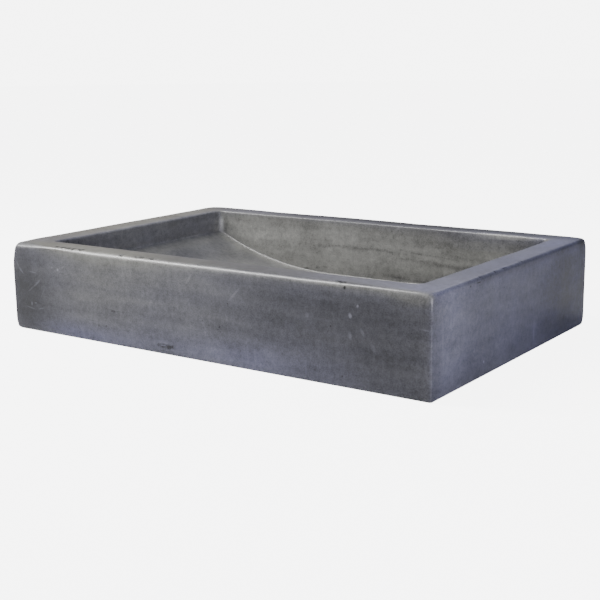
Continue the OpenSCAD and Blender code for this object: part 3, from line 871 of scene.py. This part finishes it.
# Pale and dark marks on the front: middle in x and z and half sizes in mm, lean in degrees, and
# strength, where dark is negative
FRONT_MARKS = (
    (-291, 84, 1.3, 6, -30, 0.2),
    (-284, 75, 1.6, 7, -46, 0.26),
    (-263, 75, 7, 1, 4, 0.26),
    (-267, 54, 1.3, 8, 54, 0.17),
    (-256, 62, 1.7, 7, 52, 0.28),
    (-268, 35, 1.3, 3.2, 0, 0.42),
    (-261, 36, 2.4, 1.2, 0, 0.26),
    (-270, 29, 9, 1, 8, 0.2),
    (-251, 30, 7, 1, -14, 0.18),
    (-247, 50, 1.1, 9, 30, 0.12),
    (-218, 82, 1.9, 1.8, 0, 0.7),
    (-208.5, 86.5, 3, 1.1, -24, 0.24),
    (-228, 84, 2.2, 1.4, 0, 0.24),
    (-232, 88, 9, 7, 0, 0.1),
    (-171, 86, 11, 5, 12, 0.12),
    (-127, 41, 5.5, 1.2, 4, -0.22),
    (-118, 42, 14, 0.9, 0, -0.14),
    (-152, 21, 2.2, 1.6, 0, -0.26),
    (-139, 22, 2, 1.6, 0, -0.26),
    (-165, 26, 10, 1, 0, -0.12),
    (-47, 14, 12, 3, 0, 0.2),
    (-46, 10, 13.5, 3.6, 0, -0.42),
    (-36, 10, 3, 3, 0, -0.3),
    (-49, 10.4, 6, 1, 0, 0.46),
    (-71, 69, 2.4, 1.8, 0, 0.2),
    (-66, 60, 1.6, 2.6, -20, 0.16),
    (-7.5, 92.6, 1.5, 8, 36, 0.24),
    (14, 36, 1.5, 11, -6, 0.12),
    (56.5, 82, 1.6, 12, 44, 0.22),
    (100, 24, 9, 7, 0, 0.16),
    (126, 60, 2, 2.6, 0, 0.1),
    (153, 71, 3, 3.2, 0, 0.2),
    (160, 33, 4, 1.2, -30, 0.1),
    (206, 77, 2.4, 3.4, -6, 0.62),
    (215, 88, 1.7, 1.8, 0, 0.6),
    (206, 56, 2.6, 5, -10, 0.24),
    (221, 61, 2.2, 5, -34, 0.2),
    (234, 46, 2.8, 6, -32, 0.17),
    (292, 73, 5, 1, 6, 0.26),
    (199.4, 105.6, 1.3, 1.9, 0, -0.95),
)
# Marks on the other faces, with all three sizes
OTHER_MARKS = (
    ((300, -85, 16), (6, 1.4, 1.4), 0, 0.95),
    ((300, 43, 19), (6, 2.6, 9), 0, 0.24),
    ((300, 45, 30), (6, 5, 6), 0, 0.14),
    ((300, -119, 103), (6, 1, 1), 0, -0.8),
    ((300, -100, 104), (6, 5, 1), 0, -0.4),
    ((300, -176, 50), (6, 3, 34), 4, 0.12),
    ((204, -157, 110), (3, 2.4, 6), 0, 0.34),
    ((-102, 164, 42), (4, 6, 4), 0, 0.1),
    ((-80, 164, 41), (6, 6, 2.4), 0, -0.2),
    ((-66, 164, 43), (9, 6, 1.6), 8, -0.14),
    ((-96, 164, 60), (7, 6, 6), 0, 0.16),
    ((-52, 164, 82), (3, 6, 4), 30, 0.16),
    ((-14, 164, 88), (10, 6, 2.4), -16, 0.14),
)
# The y of the front's marks and how deep they reach, in mm
FRONT_MARK_Y, FRONT_MARK_DEEP = -200, 6
# Long dark wavering streaks on the bowl's back wall: their ends in x, height, waver, slope, half width,
# in mm, and strength
STREAKS = (
    ((-190, -60), 74, 2.6, 0.02, 4.6, -0.2),
    ((-95, 70), 73, 3.2, -0.01, 4, -0.46),
    ((30, 175), 68, 3.2, -0.035, 5, -0.44),
    ((20, 190), 44, 3, -0.05, 4, -0.22),
    ((-120, -10), 96, 2, -0.03, 4, -0.22),
    ((110, 240), 84, 2.6, -0.05, 4, -0.3),
    ((20, 110), 42, 2, -0.06, 2.6, -0.26),
    ((60, 150), 77, 2, -0.03, 2.2, -0.3),
)
# A streak's swing, unevenness and width as multiples of those figures, and where its fading starts
STREAK_SWING, STREAK_UNEVEN, STREAK_WIDE, STREAK_FADE = 6, 5, 1.5, 0.6

COOL_GREY = (0.117, 0.118, 0.2, 1)
WARM_GREY = (0.149, 0.147, 0.134, 1)
# The share of warm grey before the patches, and the least brightness that tones may reach
MEAN_WARMTH = 0.66
LEAST_TONE = 0.12
# Layers of the concrete's mottling: the noise's scale, detail, roughness and stretch, and its weight
MOTTLING = {
    "clouds": (11, 3, 0.55, None, 0.7),
    "blots": (34, 5, 0.62, None, 0.75),
    "specks": (170, 3, 0.6, None, 1),
    "grain": (620, 2, 0.6, None, 1.15),
    "streaks": (40, 4, 0.55, (0.16, 0.5, 1.6), 0.8),
    "wiped": (120, 2, 0.5, (0.1, 0.1, 1), 0.4),
    "brushed": (210, 2, 0.5, (1, 1, 0.16), 0.18),
}
# Pinholes and wisps: the cells' feature and scale, the distances over which one fades, the slow noise and
# its values that leave only some, and the wisps' turn and stretch
PINHOLES = ("F1", 85, (0.1, 0.05), (45, 1), (0.05, 0.12))
WISPS = ("DISTANCE_TO_EDGE", 38, (0.03, 0), (26, 2), (0.06, 0.2))
WISP_STRETCH = {"Rotation": (0.3, 0.6, 0.2), "Scale": (1, 1, 0.22)}
# Where a mark's edge starts and ends, in units of its half sizes, how ragged it is, and its weight
MARK_EDGE = (1.25, 0.35)
MARK_RAGGED = 1.3
MARK_WEIGHT = 1.7
# The darkening over the front rim's chips: how much wider than the chip from front to back, and its
# strength
CHIP_DARK_WIDE = 1.3
CHIP_DARK = -0.8
# The heights in y between which the bowl's back wall starts
BACK_WALL = (0.155, 0.161)


def scattered(place, cell_place, feature, scale, edge, slow, few):
    """Pinholes or wisps: a soft step of the distance in a cell pattern, where a slow noise is high."""
    cells = put(place.id_data, "TexVoronoi", {"Vector": cell_place, "Scale": scale}, feature=feature)
    return maths("MULTIPLY", step(cells.outputs["Distance"], *edge), step(noise(place, *slow), *few))


def mark_height(place, ragged, middle, reach, lean, strength):
    """One mark: the distance from its middle in a leaning frame, in units of its half sizes, with a
    ragged edge, made into a soft spot. On an end face it leans about X, elsewhere about Y."""
    on_end = abs(middle[0]) * MM > HALF[0] - 1 * MM
    turn = (math.radians(lean), 0, 0) if on_end else (0, math.radians(lean), 0)
    tree = place.id_data
    local = put(tree, "Mapping",
                {"Vector": place, "Location": tuple(c * MM for c in middle), "Rotation": turn,
                 "Scale": tuple(c * MM for c in reach)}, vector_type="TEXTURE").outputs[0]
    away = put(tree, "VectorMath", {0: local}, operation="LENGTH").outputs["Value"]
    spot = step(maths("ADD", away, ragged), *MARK_EDGE)
    return maths("MULTIPLY", spot, strength)


def streak_height(x, z, waver, broken, ends, level, swing, slope, width, strength):
    """One streak on the back wall: the distance in height from a sloping, wavering line, broken up
    along its length and faded at its two ends."""
    line = maths("ADD", maths("MULTIPLY", x, slope), level * MM)
    line = maths("ADD", line, maths("MULTIPLY", waver, swing * STREAK_SWING * MM))
    away = maths("ABSOLUTE", maths("SUBTRACT", z, line))
    thick = maths("ADD", maths("MULTIPLY", broken, width * STREAK_UNEVEN * MM), width * STREAK_WIDE * MM)
    band = step(away, thick, 0)
    middle, half = (ends[0] + ends[1]) / 2 * MM, (ends[1] - ends[0]) / 2 * MM
    along = maths("ABSOLUTE", maths("SUBTRACT", x, middle))
    fade = step(along, half, half * STREAK_FADE)
    return maths("MULTIPLY", maths("MULTIPLY", band, fade), strength)


def concrete():
    """Sealed cast concrete: mottled at several scales, wiped and streaked along the mould's long sides,
    lighter, darker, warmer and cooler by soft patches, some of them painted highlights and painted
    shade, with pinholes, wisps, marks and darker chips, under a thin sealer."""
    material, shader, place = new_material(
        "sealed_concrete", Coat_Weight=0.4, Coat_Roughness=0.24, Coat_IOR=1.5, Specular_IOR_Level=0.5)
    tree = place.id_data
    xyz = put(tree, "SeparateXYZ", {0: place}).outputs
    layer = {name: noise(place, *settings) for name, (*settings, _) in MOTTLING.items()}
    mottle = total(*[(layer[name], weight) for name, (*_, weight) in MOTTLING.items()])
    clouds, blots, specks, grain = (layer[name] for name in ("clouds", "blots", "specks", "grain"))
    chip = attribute(tree, "chip")
    bowl = attribute(tree, "bowl")
    # The tone patches include painted highlights and painted shade
    patch_and_painted_light = attribute(tree, "tone")
    calmer = maths("ADD", maths("MULTIPLY", patch_and_painted_light, 0.7), 1)
    tone = total((maths("MULTIPLY", mottle, calmer), 1), (patch_and_painted_light, 1), (chip, -0.4))
    hole = scattered(place, place, *PINHOLES)
    turned_place = put(tree, "Mapping", {"Vector": place, **WISP_STRETCH}).outputs[0]
    wisp = scattered(place, turned_place, *WISPS)
    ragged = maths("MULTIPLY", specks, MARK_RAGGED)
    waver = noise(place, 9, 2, 0.5, (1, 1, 0.2))
    broken = noise(place, 22, 2, 0.5, (1, 1, 2))
    # Darker spots over the front rim's chips
    chip_darkening = [(middle, (x, CHIP_DARK_WIDE * y, z), 0, CHIP_DARK) for middle, (x, y, z), _ in CHIPS
               if middle[1] < -190]
    front = [((x, FRONT_MARK_Y, z), (wide, FRONT_MARK_DEEP, high), *rest)
             for x, z, wide, high, *rest in FRONT_MARKS]
    drawn = [mark_height(place, ragged, *mark) for mark in (*front, *OTHER_MARKS, *chip_darkening)]
    lines = [streak_height(xyz["X"], xyz["Z"], waver, broken, *s) for s in STREAKS]
    on_back = step(xyz["Y"], *BACK_WALL)
    in_bowl = maths("MULTIPLY", bowl, on_back)
    marks = total(*[(mark, MARK_WEIGHT) for mark in drawn], *[(line, in_bowl) for line in lines])
    tone = maths("ADD", tone, marks)
    tone = maths("ADD", tone, total((hole, -0.5), (wisp, 0.22)))
    hue = total((noise(place, 9), 0.36), (bowl, 0.18), (attribute(tree, "warmth"), 0.8),
                (layer["streaks"], 0.25))
    hue = maths("ADD", hue, MEAN_WARMTH, clamp=True)
    scale = maths("MAXIMUM", maths("ADD", tone, 1), LEAST_TONE)
    colour = put(tree, "VectorMath",
                 {0: blend(hue, COOL_GREY, WARM_GREY), "Scale": scale}, operation="SCALE")
    rough = total((blots, 0.3), (clouds, 0.2), (chip, 0.4), (grain, 0.1), (layer["wiped"], 0.12),
                  (attribute(tree, "polish"), 1))
    height = total((blots, 0.5), (specks, 0.25), (grain, 0.1), (hole, -0.6))
    bump = wire_up(shader, colour.outputs[0], rough, 0.36, height, 0.4, 0.6 * MM)
    tree.links.new(bump, shader.inputs["Coat Normal"])
    return material


# Two finishes of metal, wiped plate and bare turned metal: a fine noise and a coarse one, how much each
# changes the gloss, where the coarse one darkens, how far, and the bump's strength and depth
PLATED = ((420, 2, 0.5, (1, 0.12, 1)), (90, 3), (0.1, 0.16), (-0.25, 0.3), 0.9, (0.12, 0.1 * MM))
BARE = ((1500, 2, 0.5, (0.06, 0.06, 1)), (70, 4), (0.16, 0.2), (-0.28, 0.2), 0.62, (0.3, 0.15 * MM))


def metal(name, colour, roughness, finish, spots=1):
    """Metal whose gloss is broken by wiping marks or turned rings and by water spots or tarnish."""
    fine, coarse, weights, tint, shade, bump = finish
    material, shader, place = new_material(name, Metallic=1)
    fine, coarse = noise(place, *fine), noise(place, *coarse)
    rough = total((fine, weights[0] * spots), (coarse, weights[1] * spots))
    tinted = blend(step(coarse, *tint), darker(colour, shade), colour)
    wire_up(shader, tinted, rough, roughness, fine, *bump)
    return material


def moulded(name, colour, roughness, grain, speck=0.12):
    """Moulded rubber or plastic: an even colour with slight clouding and a fine grain."""
    material, shader, place = new_material(name)
    cloud = noise(place, 60)
    fine = noise(place, 2200, 2)
    share = total((cloud, 1.2), (fine, 0.5))
    share = maths("ADD", share, 0.6, clamp=True)
    rough = total((cloud, 0.15), (fine, 0.1))
    clouded = blend(share, darker(colour, 1 - speck * 2), colour)
    wire_up(shader, clouded, rough, roughness, fine, grain, 0.1 * MM)
    return material


MATERIALS = {
    "concrete": concrete(),
    "plated_brass": metal("chrome_plate", (0.78, 0.79, 0.81, 1), 0.1, PLATED),
    "bare_brass": metal("turned_brass", (0.72, 0.5, 0.22, 1), 0.3, BARE),
    "stem_steel": metal("turned_steel", (0.6, 0.6, 0.61, 1), 0.26, BARE),
    "spring_steel": metal("drawn_wire", (0.56, 0.56, 0.56, 1), 0.24, PLATED, 0.8),
    "black_rubber": moulded("black_rubber", (0.03, 0.03, 0.034, 1), 0.62, 0.25, 0.2),
    "foam_seal": moulded("closed_cell_foam", (0.66, 0.66, 0.62, 1), 0.8, 0.8),
    "washer_plastic": moulded("natural_washer", (0.76, 0.73, 0.64, 1), 0.42, 0.15),
    "barrel_plastic": moulded("barrel_plastic", (0.42, 0.4, 0.35, 1), 0.45, 0.2),
    "bush_plastic": moulded("bush_plastic", (0.7, 0.67, 0.58, 1), 0.4, 0.15),
    "rotor_plastic": moulded("rotor_plastic", (0.74, 0.7, 0.58, 1), 0.38, 0.15),
}


def finish_piece(obj, body, slot, *nodes):
    """Gives a new piece its material, its body and the CAD nodes it stands for."""
    obj.data.materials.append(MATERIALS[slot])
    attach(obj, body)
    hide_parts(*nodes)


finish_piece(concrete_casting(), "basin", "concrete", "basin_shell")
finish_piece(threaded_body(), "basin", "plated_brass", "waste_body")
spring = wound_spring()
finish_piece(spring, "basin", "spring_steel", "return_spring")
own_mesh(spring)

finish_piece(domed_cap(), "plug", "plated_brass", "plug_cap")
finish_piece(coned_seal(), "plug", "black_rubber", "plug_seal")
finish_piece(flat_ring("retainer_disc", "seal_retainer", STEM_HOLE_R, 0.25), "plug", "plated_brass",
             "seal_retainer")
finish_piece(six_sided_nut("stem_nut", "plug_lock_nut", STEM_HOLE_R), "plug", "bare_brass", "plug_lock_nut")
finish_piece(nosed_gasket(), "basin", "black_rubber", "lower_gasket")
finish_piece(flat_ring("slip_washer", "friction_washer", TAIL_FIT_R, 0.3), "basin", "washer_plastic",
             "friction_washer")
finish_piece(six_sided_nut("tail_nut", "back_nut", TAIL_FIT_R), "basin", "bare_brass", "back_nut")

# The CAD's own meshes that stay get the same materials
for part in frame["record"]["subparts"]:
    node = frame["nodes"][part["node"]]
    if not node.hide_render:
        node.data.materials.clear()
        node.data.materials.append(MATERIALS[part["material_slot"]])


# The stage: a pale floor with a well for the tail, as a counter has

def pale_floor():
    """Rings of a floor: a round well under the waste, then a wide level disc."""
    well_r, well_z, reach, level = 30 * MM, -75 * MM, 14, -0.2 * MM
    loop = [(1 * MM, well_z), (well_r, well_z), (well_r, level), (0.4, level), (2, level), (reach, level)]
    rings = turned(loop, 96)
    obj = add_mesh("pale_floor", rings.reshape(-1, 3), grid_faces(*rings.shape[:2], False), 30)
    material, shader, _ = new_material("pale_floor", Base_Color=(0.58, 0.58, 0.58, 1), Roughness=0.8,
                                       Emission_Color=(1, 1, 1, 1))
    tree = shader.id_data
    tree.links.new(backdrop_strength(tree, 0, FLOOR_GLOW), shader.inputs["Emission Strength"])
    obj.data.materials.append(material)


def softbox(name, at, towards, size, power, colour=(1, 1, 1)):
    """A rectangular area light that faces a point."""
    light = bpy.data.lights.new(name, "AREA")
    light.shape = "RECTANGLE"
    light.size, light.size_y = size
    light.energy = power
    light.color = colour
    obj = add_object(name, light)
    obj.location = at
    obj.rotation_euler = (Vector(towards) - Vector(at)).to_track_quat("-Z", "Y").to_euler()


def photo_camera():
    """The camera's three directions: ahead is turned left from +Y and tilted down, right is level and
    up is square to both, and the last two are rolled together."""
    data = bpy.data.cameras.new("photo_camera")
    data.lens, data.sensor_width = CAMERA_LENS_MM, CAMERA_SENSOR_MM
    obj = add_object("photo_camera", data)
    ahead = Vector((-math.sin(CAMERA_TURN) * math.cos(CAMERA_TILT),
                    math.cos(CAMERA_TURN) * math.cos(CAMERA_TILT), -math.sin(CAMERA_TILT)))
    level = Vector((math.cos(CAMERA_TURN), math.sin(CAMERA_TURN), 0))
    upright = level.cross(ahead)
    right = level * math.cos(CAMERA_ROLL) + upright * math.sin(CAMERA_ROLL)
    up = upright * math.cos(CAMERA_ROLL) - level * math.sin(CAMERA_ROLL)
    turn = Matrix((right, up, -ahead)).transposed()
    obj.matrix_world = Matrix.Translation(CAMERA_AT) @ turn.to_4x4()
    bpy.context.scene.camera = obj


def backdrop_strength(tree, light, shown):
    """A strength for the light that a backdrop gives, and another for how bright it shows."""
    seen = put(tree, "LightPath").outputs["Is Camera Ray"]
    return put(tree, "MapRange", {"Value": seen, 3: light, 4: shown}).outputs[0]


def studio_world(light, shown):
    """Soft light from all round, warmer on the left and cooler on the right, in front of white walls."""
    world = bpy.data.worlds.new("studio")
    world.use_nodes = True
    tree = world.node_tree
    background = tree.nodes["Background"]
    direction = put(tree, "TexCoord").outputs["Generated"]
    from_left = put(tree, "SeparateXYZ", {0: direction}).outputs["X"]
    light_colour = blend(step(from_left, *LIGHT_TURNS), WARM_LIGHT, COOL_LIGHT)
    seen = put(tree, "LightPath").outputs["Is Camera Ray"]
    tree.links.new(blend(seen, light_colour, (1, 1, 1, 1)), background.inputs["Color"])
    tree.links.new(backdrop_strength(tree, light, shown), background.inputs["Strength"])
    bpy.context.scene.world = world


pale_floor()
studio_world(STUDIO_LIGHT, WALL_GLOW)
softbox("overhead_strip", (-1, -0.5, 1.35), (0, -0.1, 0.1), (0.4, 1.6), 46)
softbox("front_right", (1.05, -0.5, 0.22), (0, 0, 0.08), (0.5, 0.22), 4.1, (0.85, 0.85, 1))
softbox("back", (-0.3, 1.8, 1.2), (0, 0, 0.05), (1.2, 0.6), 2)
photo_camera()
